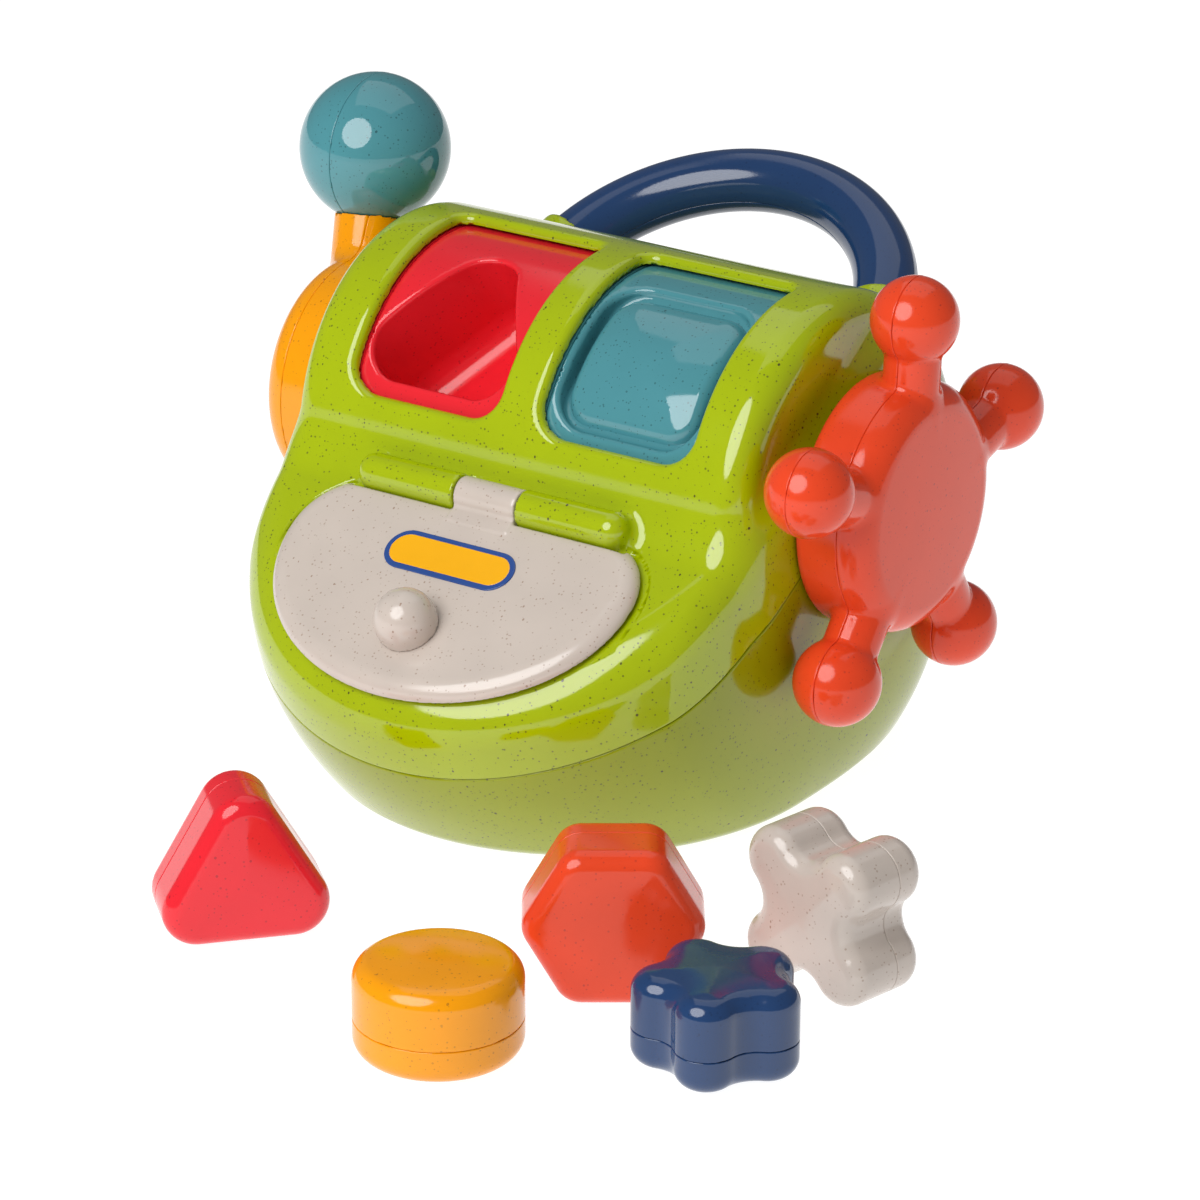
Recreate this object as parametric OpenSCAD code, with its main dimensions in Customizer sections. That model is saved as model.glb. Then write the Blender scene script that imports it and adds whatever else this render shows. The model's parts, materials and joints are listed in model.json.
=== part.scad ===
// Rolling shape sorter: a rounded tub with a clamshell upper shell, two drums with block pockets
// that are turned by a crank and a wheel, a hinged front door, a carry handle and five blocks.
// Frame: +X to the right, +Y to the back, +Z up. The origin is on the flat underside of the tub,
// straight below the drum axle. The drums, crank and wheel share the axle along X.

/* [Body] */
// Half width of the tub at the floor
tub_half_w = 81; // [76:1:84]
// Half width of the free bulge higher up, before the flat sides trim it
bulge_half_w = 103.5; // [100:0.5:108]
// Front reach of the tub at the floor
tub_front = 103; // [98:1:106]
// Front reach of the lip at the height of the bulge
lip_front = 137; // [132:1:140]
// Rear reach of the tub
tub_rear = 111; // [106:1:116]
// Height of the widest level
bulge_z = 68.5; // [60:0.5:76]
// Half distance between the flat sides
side_half = 90.6; // [90:0.2:91]
// Thickness of the moulded walls
wall = 3; // [2.4:0.2:3.4]
// Slope of the front face that carries the door
face_slope = 32.5; // [31:0.5:34]
// Slope of the parting plane between tub and upper shell
seam_slope = 30; // [28:1:31]
// Height at which the parting plane crosses the axle's vertical plane
seam_z = 108; // [107:0.5:110]

/* [Drums] */
// Height of the drum axle above the floor
axle_z = 105; // [104:0.5:106]
// Radius of the drum housing outside
housing_r = 63.4; // [63:0.2:65]
// Half length of the drum housing
housing_half = 86.3; // [85:0.1:88]
// Radius of the drums
drum_r = 59; // [57:0.2:59]
// Window width along the axle
window_w = 57; // [52:0.5:57]
// Distance from the middle plane to the middle of a drum
drum_mid = 36.3; // [36:0.1:36.6]
// First angle of the window, from the back, over the top
window_from = 87; // [82:1:90]
// Last angle of the window
window_to = 161; // [158:1:163]
// Direction of the pocket that faces the window, from the back, over the top
station = 130; // [128:1:132]

/* [Wheel and crank] */
// Distance from the middle plane to the middle plane of a wheel
wheel_x = 107.5; // [107.2:0.1:108]
// Radius of the wheel discs
disc_r = 40.5; // [39:0.5:41]
// Thickness of a wheel disc on the inside of its middle plane
disc_in = 15.7; // [15:0.1:15.8]
// Thickness of a wheel disc on the outside of its middle plane
disc_out = 11; // [11:0.1:13]
// Radius of the rolled outer rim
rim_r = 11; // [9:0.5:11]
// Ring radius of the knobs of the wheel
knob_ring = 60.2; // [59:0.2:62]
// Radius of a knob of the wheel
knob_r = 14; // [13:0.25:15]
// Number of knobs of the wheel
knobs = 5; // [4:1:6]
// Arm length of the crank, from the axle to the middle of its ball
arm = 75.3; // [74:0.1:77]
// How far the crank's ball stands further out than the disc's middle plane
ball_out = 9.2; // [9.2:0.1:10]
// Radius of the crank's ball
ball_r = 25.4; // [23:0.1:25.4]

/* [Door] */
// Half width of the door
door_half = 64.6; // [60:0.2:66]
// Thickness of the door above the front face
door_t = 4.7; // [4:0.1:5]
// Largest opening angle of the door
door_open = 110; // [80:5:115]

/* [Handle] */
// Radius of the handle's arc
handle_ring = 63.7; // [62:0.1:65]
// Radius of the handle's tube
handle_r = 10.6; // [9.5:0.1:11]

/* [Blocks] */
// Thickness of every block
block_t = 31; // [28:0.5:32]
// Share of a block's thickness that its front or top half takes
front_share = 0.6; // [0.5:0.05:0.7]
// Wall of the hollow blocks
block_wall = 2; // [1.6:0.1:2.4]
// Room around a block in its pocket
pocket_gap = 1; // [0.8:0.1:1.1]

/* [Hidden] */
$fn = 64;

green = [0.66, 0.74, 0.12];
red = [0.92, 0.22, 0.24];
teal = [0.33, 0.62, 0.64];
yellow = [1.0, 0.66, 0.02];
orange = [0.95, 0.36, 0.22];
navy = [0.14, 0.27, 0.45];
beige = [0.83, 0.78, 0.73];
steel = [0.7, 0.71, 0.73];

side_r = 10.7;
face_edge_r = 12.4;
back_slope = 40;
back_reach = 62;
back_edge_r = 22;
housing_edge_r = 9;
blend_r = 9.4;
plan_y = -16.5;
front_power = 2;
rear_power = 2.45;
face_y = -89.1;
face_z = 87.4;
below_floor = 6;
heart = [0, -10, 78];
far = 260;

// Intersection of two distances with a rounded edge of radius r
function round_max(a, b, r) = min(max(a, b), -r) + norm([max(a + r, 0), max(b + r, 0)]);
// Union of two distances with a fillet of radius r
function round_min(a, b, r) = -round_max(-a, -b, r);
// How much of the bulge is reached at height z
function bulge(z) = 1 - pow(max(bulge_z - z, 0) / bulge_z, 2);
function power_norm(a, b, n) = pow(pow(a, n) + pow(b, n), 1 / n);
// Distance from the upright side wall, which is oval in plan
function wall_gap(x, dy, z) =
    let (half = tub_half_w + (bulge_half_w - tub_half_w) * bulge(z))
    let (ahead = tub_front + (lip_front - tub_front) * bulge(z) + plan_y)
    let (reach = dy < 0 ? ahead : tub_rear - plan_y)
    let (s = power_norm(x / half, abs(dy) / reach, dy < 0 ? front_power : rear_power))
    (s - 1) * norm([x, dy]) / max(s, 0.05);
function face_gap(y, z) = (z - face_z) * cos(face_slope) - (y - face_y) * sin(face_slope);
function back_gap(y, z) = y * sin(back_slope) + (z - axle_z) * cos(back_slope) - back_reach;
// Lower body: oval walls, flat sides, the sloping front face and the sloping back
function wedge_gap(x, y, z) =
    let (walls = round_max(wall_gap(x, y - plan_y, z), x - side_half, side_r))
    let (faced = round_max(walls, face_gap(y, z), face_edge_r))
    let (backed = round_max(faced, back_gap(y, z), back_edge_r))
    round_max(backed, -z - below_floor, 1);
function housing_gap(x, y, z) =
    round_max(x - housing_half, norm([y, z - axle_z]) - housing_r, housing_edge_r);
function body_gap(p) =
    round_min(wedge_gap(abs(p[0]), p[1], p[2]), housing_gap(abs(p[0]), p[1], p[2]), blend_r);
// Walks out along a ray from the heart until the gap equals level
function skin_point(dir, level, near, far, steps) =
    let (mid = (near + far) / 2)
    steps == 0 ? heart + dir * mid
    : body_gap(heart + dir * mid) > level ? skin_point(dir, level, near, mid, steps - 1)
    : skin_point(dir, level, mid, far, steps - 1);

seam_cos = cos(seam_slope);
seam_sin = sin(seam_slope);
hinge_s = 25;
hinge_off = 5;
hinge_y = face_y + hinge_s * cos(face_slope) - hinge_off * sin(face_slope);
hinge_z = face_z + hinge_s * sin(face_slope) + hinge_off * cos(face_slope);
barrel_r = 6;
barrel_end = 51;
knuckle_half = 11.6;
pin_r = 2;
pin_half = 34;
run_gap = 0.05;
door_top = 22.4;
door_shoulder = 0;
door_drop = 51.2;
door_corner = 19;
door_lift = 0.3;
opening_inset = 5;
rim_depth = 4;

rod_r = 3;
rod_half = 101;
hub_r = 12;
bush_r = 15;
cap_t = 2;
drum_half = 28.5;
cap_out = drum_mid + drum_half + cap_t;
core_r = 15.5;
skin_t = 2.5;
pocket_floor = 19;
triangle_drop = 4.5;
neck_r = 9;
arm_r = 11.5;
hollow = 2.5;
wheel_turn = -2.8;
crank_turn = 19.4;
lean = atan(ball_out / arm);
inner_edge_r = 3;
handle_start = 14;
pod_r = 13;
pod_from = 4;
pod_to = 19;
handle_y = 44.3;
drum_room = drum_r + 1.5;
post_spots = [[58, -64], [74, 38]];

module mirrored() {
    children();
    mirror([1, 0, 0]) children();
}

module along_x(r, from, to) {
    translate([from, 0, 0]) rotate([0, 90, 0]) cylinder(r = r, h = to - from);
}

// --- outlines of the blocks, drawn about their middle; grow makes them larger all round
function spot_at(reach, angle) = reach * [cos(angle), sin(angle)];
function arc(middle, r, from, to, first, last, steps) =
    [for (i = [first : last]) middle + spot_at(r, from + (to - from) * i / steps)];

// Regular outline with round corners whose middles lie at reach
function corner_outline(sides, reach, r, turn, grow) = [
    for (k = [0 : sides - 1])
        let (a = turn + 360 * k / sides, half = 180 / sides)
        each arc(spot_at(reach, a), r + grow, a - half, a + half, 0, 6, 6)
];

// Round lobes whose middles lie at reach, joined by round valleys
function lobed_outline(lobes, reach, r, valley_r, turn, grow) =
    let (half = 180 / lobes)
    let (deep = reach * cos(half) + sqrt(pow(r + valley_r, 2) - pow(reach * sin(half), 2)))
    let (lean = atan2(deep * sin(half), deep * cos(half) - reach))
    [
        for (k = [0 : lobes - 1])
            let (a = turn + 360 * k / lobes, inward = a + half + 180, e = lean - half)
            each concat(
                arc(spot_at(reach, a), r + grow, a - lean, a + lean, 0, 10, 10),
                arc(spot_at(deep, a + half), valley_r - grow, inward + e, inward - e, 1, 5, 6)
            )
    ];

module outline(kind, grow) {
    if (kind == "triangle") polygon(corner_outline(3, 17, 11, 90, grow));
    if (kind == "hexagon") polygon(corner_outline(6, 18.5, 8.5, 0, grow));
    if (kind == "round") circle(r = 25 + grow);
    if (kind == "star") polygon(lobed_outline(5, 17, 8.5, 7, 90, grow));
    if (kind == "cross") polygon(lobed_outline(4, 19.5, 10.4, 8, 45, grow));
}

// --- body
module body_form(level, turns, rows) {
    last = rows - 1;
    rings = [
        for (i = [1 : last]) for (j = [0 : turns - 1])
            let (lift = -90 + 180 * i / rows, turn = 360 * j / turns)
            skin_point([cos(lift) * cos(turn), cos(lift) * sin(turn), sin(lift)], level, 10, far, 16)
    ];
    low = len(rings);
    high = low + 1;
    points = concat(rings, [
        skin_point([0, 0, -1], level, 10, far, 16),
        skin_point([0, 0, 1], level, 10, far, 16)
    ]);
    faces = concat(
        [for (j = [0 : turns - 1]) [low, j, (j + 1) % turns]],
        [
            for (i = [0 : last - 2]) for (j = [0 : turns - 1])
                let (a = i * turns + j, b = i * turns + (j + 1) % turns)
                [a, a + turns, b]
        ],
        [
            for (i = [0 : last - 2]) for (j = [0 : turns - 1])
                let (a = i * turns + j, b = i * turns + (j + 1) % turns)
                [b, a + turns, b + turns]
        ],
        [
            for (j = [0 : turns - 1])
                [high, (last - 1) * turns + (j + 1) % turns, (last - 1) * turns + j]
        ]
    );
    polyhedron(points, faces);
}

module above_seam(lift) {
    translate([0, 0, seam_z]) rotate([seam_slope, 0, 0]) translate([-150, -300, lift]) cube([300, 600, 300]);
}

module outer_form() {
    intersection() {
        body_form(0, 60, 28);
        translate([-150, -200, 0]) cube([300, 400, 300]);
    }
}

module inner_form() {
    intersection() {
        body_form(-wall, 44, 22);
        translate([-150, -200, wall]) cube([300, 400, 300]);
    }
}

module in_seam_plane() {
    translate([0, handle_y, seam_z + handle_y * tan(seam_slope)]) rotate([seam_slope, 0, 0]) children();
}

module handle_tube(r, from, to) {
    rotate([0, 0, from]) rotate_extrude(angle = to - from) translate([handle_ring, 0]) circle(r = r);
}

module pods() {
    difference() {
        in_seam_plane() {
            handle_tube(pod_r, pod_from, pod_to);
            handle_tube(pod_r, 180 - pod_to, 180 - pod_from);
        }
        translate([0, 0, axle_z]) along_x(drum_room, -cap_out - 1, cap_out + 1);
    }
}

module pod_sockets() {
    in_seam_plane() handle_tube(handle_r + run_gap, handle_start, 180 - handle_start);
}

module bearing_holes() {
    translate([0, 0, axle_z]) mirrored() along_x(bush_r + run_gap, 80, 100);
}

module posts(from_z, to_z, r) {
    mirrored() for (spot = post_spots)
        translate([spot[0], spot[1], from_z]) cylinder(r = r, h = to_z - from_z);
}

function seam_at(y) = seam_z + y * tan(seam_slope);

module base_tub() {
    color(green) difference() {
        union() {
            difference() {
                outer_form();
                inner_form();
            }
            pods();
            intersection() {
                posts(1, 140, 6);
                outer_form();
            }
        }
        above_seam(0);
        pod_sockets();
        bearing_holes();
        mirrored() for (spot = post_spots) translate([spot[0], spot[1], 0]) {
            translate([0, 0, -1]) cylinder(r = 4, h = seam_at(spot[1]) - 11);
            translate([0, 0, -1]) cylinder(r = 1.8, h = 160);
        }
        mirrored() translate([18, 10, -1]) cylinder(r = 1.8, h = 20);
    }
}

module window(side) {
    translate([side * drum_mid - window_w / 2, 0, axle_z]) rotate([90, 0, 90])
        rotate([0, 0, window_from]) rotate_extrude(angle = window_to - window_from)
            translate([50, 0]) square([25, window_w]);
}

// Places children in the plane of the front face: x across, y up the slope, z out of the face
module on_face() {
    translate([0, face_y, face_z]) rotate([face_slope, 0, 0]) children();
}

// Door outline in the plane of the front face, shrunk by inset
module door_outline(inset) {
    half = door_half - inset;
    drop = door_drop - inset;
    corner = door_corner - inset;
    polygon(concat(
        [for (a = [180 : 7.5 : 360]) [half * cos(a), door_shoulder + drop * sin(a)]],
        [for (a = [7.5 : 7.5 : 90]) [
            half - corner + corner * cos(a),
            door_shoulder + (door_top - inset - door_shoulder) * sin(a)
        ]],
        [for (a = [90 : 7.5 : 172.5]) [
            -half + corner + corner * cos(a),
            door_shoulder + (door_top - inset - door_shoulder) * sin(a)
        ]]
    ));
}

module hinge_barrels() {
    translate([0, hinge_y, hinge_z]) mirrored() {
        along_x(barrel_r, knuckle_half + 0.4, barrel_end - barrel_r);
        translate([barrel_end - barrel_r, 0, 0]) sphere(r = barrel_r);
    }
    on_face() mirrored() translate([knuckle_half + 1.2, hinge_s - 3.4, -2])
        cube([barrel_end - barrel_r - knuckle_half, 8, hinge_off + 2]);
}

module upper_shell() {
    color(green) difference() {
        union() {
            difference() {
                outer_form();
                inner_form();
                on_face() translate([0, 0, 0.1]) linear_extrude(10) door_outline(-0.8);
                translate([0, hinge_y, hinge_z])
                    along_x(barrel_r + 0.4, -knuckle_half - 0.6, knuckle_half + 0.6);
            }
            pods();
            intersection() {
                posts(60, 150, 5);
                outer_form();
            }
            hinge_barrels();
        }
        translate([0, 0, seam_z]) rotate([seam_slope, 0, 0]) translate([-150, -300, -300])
            cube([300, 600, 300]);
        translate([0, 0, axle_z]) along_x(drum_room, -cap_out - 1, cap_out + 1);
        pod_sockets();
        bearing_holes();
        window(-1);
        window(1);
        on_face() translate([0, 0, -12]) linear_extrude(14) door_outline(opening_inset);
        translate([0, hinge_y, hinge_z]) along_x(pin_r + run_gap, -pin_half - 0.5, pin_half + 0.5);
        mirrored() for (spot = post_spots)
            translate([spot[0], spot[1], 0]) cylinder(r = 1.8, h = seam_at(spot[1]) + 14);
    }
}

module centre_bracket() {
    color(green) difference() {
        translate([-3.5, 0, 0]) rotate([90, 0, 90]) linear_extrude(7) polygon([
            [-26, wall], [36, wall], [36, wall + 6], [13, axle_z], [9, axle_z + 9],
            [-9, axle_z + 9], [-13, axle_z], [-26, wall + 6]
        ]);
        translate([0, 0, axle_z]) along_x(rod_r, -10, 10);
    }
    color(green) mirrored() difference() {
        translate([3.5, 2, wall]) cube([22, 16, 4]);
        translate([18, 10, 0]) cylinder(r = 1.5, h = 20);
    }
}

module bracket_screws() {
    color(steel) mirrored() translate([18, 10, 0.2]) {
        cylinder(r = 1.45, h = wall + 3.6);
    }
}

module axle_rod() {
    color(steel) translate([0, 0, axle_z]) along_x(rod_r, -rod_half, rod_half);
}

module bearing() {
    color(beige) translate([0, 0, axle_z]) difference() {
        union() {
            along_x(bush_r, side_half - 6, side_half + 0.6);
            along_x(bush_r + 3, side_half - 6, side_half - wall - 0.4);
        }
        along_x(hub_r + run_gap, side_half - 10, side_half + 2);
    }
}

module handle_half(upper) {
    color(navy) difference() {
        in_seam_plane() intersection() {
            handle_tube(handle_r, handle_start, 180 - handle_start);
            translate([-100, -100, upper ? 0 : -40]) cube([200, 200, 40]);
        }
        translate([0, 0, axle_z]) along_x(drum_room, -cap_out - 1, cap_out + 1);
    }
}

module hinge_pin() {
    color(steel) translate([0, hinge_y, hinge_z]) along_x(pin_r, -pin_half, pin_half);
}

module shell_screws() {
    color(steel) mirrored() for (spot = post_spots)
        translate([spot[0], spot[1], seam_at(spot[1]) - 12 - 2.4]) {
            cylinder(r = 3.6, h = 2.4);
            cylinder(r = 1.75, h = 2.4 + 22);
        }
}

// --- drums
module at_station(turn) {
    translate([0, 0, axle_z]) rotate([turn - 90, 0, 0]) children();
}

// A straight shaft of a block's outline, from radius low to radius high
module pocket_shaft(kind, grow, low, high) {
    translate([0, kind == "triangle" ? -triangle_drop : 0, low])
        linear_extrude(high - low) outline(kind, grow);
}

module pillow_ring(grow, low, high) {
    translate([0, 0, low]) linear_extrude(high - low) polygon(corner_outline(4, 19.8, 9.5, 45, grow));
}

// Barrel of a drum, drawn about its own middle; kinds are the shapes of its pockets
module drum_barrel(kinds) {
    difference() {
        union() {
            difference() {
                translate([0, 0, axle_z]) along_x(drum_r, -drum_half, drum_half);
                translate([0, 0, axle_z]) along_x(drum_r - skin_t, -drum_half - 1, drum_half + 1);
            }
            intersection() {
                translate([0, 0, axle_z]) along_x(drum_r - 1, -drum_half, drum_half);
                for (k = [0 : len(kinds) - 1]) at_station(station + 120 * k) {
                    if (kinds[k] != "pillow") pocket_shaft(kinds[k], pocket_gap + 1.6, 2, 60);
                    if (kinds[k] == "pillow") pillow_ring(4.5, 44, 60);
                }
            }
        }
        translate([0, 0, axle_z]) along_x(core_r, -drum_half - 1, drum_half + 1);
        for (k = [0 : len(kinds) - 1]) at_station(station + 120 * k) {
            if (kinds[k] != "pillow") pocket_shaft(kinds[k], pocket_gap, pocket_floor, 70);
            if (kinds[k] == "pillow") difference() {
                pillow_ring(2.6, 49, 70);
                pillow_ring(0, 48, 71);
            }
        }
    }
}

module drum_cap(outer) {
    x = outer ? drum_half : -drum_half - cap_t;
    translate([0, 0, axle_z]) difference() {
        along_x(drum_r, x, x + cap_t);
        along_x(outer ? hub_r - 4 : rod_r + run_gap, x - 1, x + cap_t + 1);
        rotate([station, 0, 0]) for (k = [0 : 2]) rotate([120 * k + 60, 0, 0]) translate([0, 48, 0])
            along_x(1.6, x - 1, x + cap_t + 1);
    }
}

module cap_screws() {
    translate([0, 0, axle_z]) rotate([station, 0, 0]) for (k = [0 : 2])
        rotate([120 * k + 60, 0, 0]) translate([0, 48, 0])
            along_x(1.55, drum_half, drum_half + cap_t + 0.8);
}

// --- wheel and crank, drawn about their own middle plane
module disc_form(grow) {
    rim = rim_r + grow;
    edge = inner_edge_r + grow / 2;
    flat_r = disc_r - rim_r;
    inner = disc_in + grow;
    edge_r = disc_r + grow - edge;
    translate([0, 0, axle_z]) rotate([0, 90, 0]) rotate_extrude() {
        translate([0, -inner]) square([edge_r, inner]);
        translate([0, edge - inner]) square([flat_r + rim, inner - edge]);
        translate([edge_r, edge - inner]) circle(r = edge);
        square([flat_r, disc_out + grow]);
        translate([flat_r, disc_out - rim_r]) intersection() {
            circle(r = rim);
            square([rim, rim]);
        }
    }
}

module wheel_form(grow) {
    disc_form(grow);
    for (k = [0 : knobs - 1]) at_station(90 + wheel_turn + 360 * k / knobs) {
        if (grow == 0) cylinder(r = neck_r, h = knob_ring);
        translate([0, 0, knob_ring]) sphere(r = knob_r + grow);
    }
}

module crank_form(grow) {
    disc_form(grow);
    at_station(90 - crank_turn) rotate([0, lean, 0])
        cylinder(r = arm_r + grow, h = arm - ball_r + 3);
}

module side_of_middle(outer) {
    translate([outer ? 0 : -40, -150, 0]) cube([40, 300, 300]);
}

// Hub shaft that joins the inner half to the drum
module hub_shaft() {
    inner_end = cap_out - wheel_x;
    translate([0, 0, axle_z]) difference() {
        along_x(hub_r, inner_end, 0);
        along_x(rod_r + run_gap, inner_end - 1, rod_half + 1 - wheel_x);
    }
}

module wheel_half(outer) {
    difference() {
        union() {
            difference() {
                wheel_form(0);
                wheel_form(-hollow);
            }
            if (!outer) hub_shaft();
        }
        side_of_middle(!outer);
        if (!outer) translate([0, 0, axle_z]) along_x(rod_r + run_gap, -60, rod_half + 1 - wheel_x);
    }
}

module crank_half(outer) {
    difference() {
        union() {
            difference() {
                crank_form(0);
                crank_form(-hollow);
            }
            if (!outer) hub_shaft();
        }
        side_of_middle(!outer);
        crank_ball(0.02);
        if (!outer) translate([0, 0, axle_z]) along_x(rod_r + run_gap, -60, rod_half + 1 - wheel_x);
    }
}

module crank_ball(grow) {
    at_station(90 - crank_turn) translate([ball_out, 0, arm]) sphere(r = ball_r + grow);
}

module crank_ball_half(outer) {
    color(teal) at_station(90 - crank_turn) translate([ball_out, 0, arm]) difference() {
        sphere(r = ball_r);
        sphere(r = ball_r - hollow);
        translate([outer ? -40 : 0, -40, -40]) cube([40, 80, 80]);
    }
}

module on_left() {
    mirror([1, 0, 0]) translate([wheel_x, 0, 0]) children();
}

// --- door
module door_panel() {
    color(beige) difference() {
        union() {
            difference() {
                on_face() {
                    translate([0, 0, door_lift]) linear_extrude(door_t) door_outline(0);
                    translate([0, 0, door_lift - rim_depth]) linear_extrude(rim_depth + 1)
                        door_outline(opening_inset + 0.8);
                }
                translate([0, hinge_y, hinge_z])
                    along_x(barrel_r + 0.6, -barrel_end - 1.5, barrel_end + 1.5);
                on_face() translate([0, 0, door_lift - rim_depth - 1])
                    linear_extrude(rim_depth + 2.4) door_outline(opening_inset + 2.8);
            }
            translate([0, hinge_y, hinge_z]) along_x(barrel_r - 0.4, -knuckle_half, knuckle_half);
            on_face() translate([-knuckle_half, hinge_s - 11, hinge_off - 2.6])
                cube([2 * knuckle_half, 11, 3]);
        }
        translate([0, hinge_y, hinge_z]) along_x(pin_r + run_gap, -20, 20);
    }
}

module door_knob() {
    color(beige) on_face() translate([0, -27.5, door_lift + door_t]) difference() {
        translate([0, 0, 4]) union() {
            sphere(r = 10);
            translate([0, 0, -4]) cylinder(r = 9, h = 4);
        }
        translate([0, 0, -20]) cylinder(r = 20, h = 20);
    }
}

module door_badge() {
    color(yellow) on_face() translate([-1.2, -0.4, door_lift + door_t]) {
        linear_extrude(0.5) {
            square([33, 15], center = true);
            for (side = [-1, 1]) translate([side * 16.5, 0]) circle(r = 7.5);
        }
    }
}

// --- blocks: a half of the given depth, open towards the parting plane at z = 0
module block_half(kind, depth) {
    difference() {
        linear_extrude(depth) outline(kind, 0);
        translate([0, 0, -1]) linear_extrude(depth - block_wall + 1) outline(kind, -block_wall);
    }
}

// A half about the middle of the whole block's thickness
module block_side(kind, front) {
    front_t = block_t * front_share;
    translate([0, 0, block_t / 2 - front_t]) {
        if (front) block_half(kind, front_t);
        else mirror([0, 0, 1]) block_half(kind, block_t - front_t);
    }
}

// Stands a block on its edge, facing the front, turned about the upright axis
module standing(spot, turn) {
    translate(spot) rotate([0, 0, turn]) rotate([90, 0, 0]) children();
}

triangle_spot = [-11.5, -186.3, 19.5];
hexagon_spot = [104.7, -156.3, 24.52];
cross_spot = [154.8, -114.6, 24.19];
star_spot = [157, -179, block_t / 2];
round_spot = [87.4, -219.8, block_t / 2];

module triangle_block(front) {
    color(red) standing(triangle_spot, 48.6) block_side("triangle", front);
}

module hexagon_block(front) {
    color(orange) standing(hexagon_spot, 35) block_side("hexagon", front);
}

module cross_block(front) {
    color(beige) standing(cross_spot, -12) block_side("cross", front);
}

module star_block(front) {
    color(navy) translate(star_spot) rotate([0, 0, -15.6]) block_side("star", front);
}

module round_block(front) {
    color(yellow) translate(round_spot) block_side("round", front);
}

// --- one module for every sub-part
module left_bearing() {
    mirror([1, 0, 0]) bearing();
}

module right_bearing() {
    bearing();
}

module handle_upper_half() {
    handle_half(true);
}

module handle_lower_half() {
    handle_half(false);
}

module left_drum_barrel() {
    color(red) mirror([1, 0, 0]) translate([drum_mid, 0, 0]) drum_barrel(["triangle", "round", "hexagon"]);
}

module left_drum_inner_cap() {
    color(red) mirror([1, 0, 0]) translate([drum_mid, 0, 0]) drum_cap(false);
}

module left_drum_outer_cap() {
    color(red) mirror([1, 0, 0]) translate([drum_mid, 0, 0]) drum_cap(true);
}

module left_cap_screws() {
    color(steel) mirror([1, 0, 0]) translate([drum_mid, 0, 0]) cap_screws();
}

module crank_inner_half() {
    color(yellow) on_left() crank_half(false);
}

module crank_outer_half() {
    color(yellow) on_left() crank_half(true);
}

module crank_ball_inner_half() {
    on_left() crank_ball_half(false);
}

module crank_ball_outer_half() {
    on_left() crank_ball_half(true);
}

module right_drum_barrel() {
    color(teal) translate([drum_mid, 0, 0]) drum_barrel(["pillow", "star", "cross"]);
}

module right_drum_inner_cap() {
    color(teal) translate([drum_mid, 0, 0]) drum_cap(false);
}

module right_drum_outer_cap() {
    color(teal) translate([drum_mid, 0, 0]) drum_cap(true);
}

module right_cap_screws() {
    color(steel) translate([drum_mid, 0, 0]) cap_screws();
}

module wheel_inner_half() {
    color(orange) translate([wheel_x, 0, 0]) wheel_half(false);
}

module wheel_outer_half() {
    color(orange) translate([wheel_x, 0, 0]) wheel_half(true);
}

module triangle_block_front() {
    triangle_block(true);
}

module triangle_block_back() {
    triangle_block(false);
}

module hexagon_block_front() {
    hexagon_block(true);
}

module hexagon_block_back() {
    hexagon_block(false);
}

module cross_block_front() {
    cross_block(true);
}

module cross_block_back() {
    cross_block(false);
}

module star_block_top() {
    star_block(true);
}

module star_block_bottom() {
    star_block(false);
}

module round_block_top() {
    round_block(true);
}

module round_block_bottom() {
    round_block(false);
}

base_tub();
upper_shell();
centre_bracket();
axle_rod();
left_bearing();
right_bearing();
handle_upper_half();
handle_lower_half();
hinge_pin();
shell_screws();
bracket_screws();
left_drum_barrel();
left_drum_inner_cap();
left_drum_outer_cap();
left_cap_screws();
crank_inner_half();
crank_outer_half();
crank_ball_inner_half();
crank_ball_outer_half();
right_drum_barrel();
right_drum_inner_cap();
right_drum_outer_cap();
right_cap_screws();
wheel_inner_half();
wheel_outer_half();
door_panel();
door_knob();
door_badge();
triangle_block_front();
triangle_block_back();
hexagon_block_front();
hexagon_block_back();
cross_block_front();
cross_block_back();
star_block_top();
star_block_bottom();
round_block_top();
round_block_bottom();
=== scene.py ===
"""Looks of the rolling shape sorter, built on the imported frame.

Every moulded piece is meshed from a distance formula in millimetres, so its edges are round, its joints have
fillets and its halves part along a fine seam. The frame gives where each piece goes.
"""

import json
import math

import bpy
import numpy as np
from mathutils import Matrix, Vector


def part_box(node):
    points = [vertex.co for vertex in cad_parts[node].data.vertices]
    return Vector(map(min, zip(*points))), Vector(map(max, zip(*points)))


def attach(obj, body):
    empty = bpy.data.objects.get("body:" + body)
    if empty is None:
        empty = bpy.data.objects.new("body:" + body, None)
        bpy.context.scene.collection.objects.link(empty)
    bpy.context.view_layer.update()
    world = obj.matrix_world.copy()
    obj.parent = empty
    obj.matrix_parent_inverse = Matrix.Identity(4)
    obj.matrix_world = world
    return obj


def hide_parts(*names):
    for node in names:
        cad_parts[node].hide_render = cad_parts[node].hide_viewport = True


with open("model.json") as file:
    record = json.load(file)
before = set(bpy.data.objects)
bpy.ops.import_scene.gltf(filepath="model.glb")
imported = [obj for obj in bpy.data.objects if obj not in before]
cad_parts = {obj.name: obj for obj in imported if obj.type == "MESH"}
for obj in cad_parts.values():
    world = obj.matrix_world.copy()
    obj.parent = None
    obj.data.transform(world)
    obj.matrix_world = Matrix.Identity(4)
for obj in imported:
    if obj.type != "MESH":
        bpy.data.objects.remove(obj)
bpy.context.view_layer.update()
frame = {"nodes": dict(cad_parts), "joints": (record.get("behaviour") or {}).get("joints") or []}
MM = 0.001
STEP = 1.2


def low_mm(node):
    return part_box(node)[0] / MM


def high_mm(node):
    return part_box(node)[1] / MM


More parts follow.
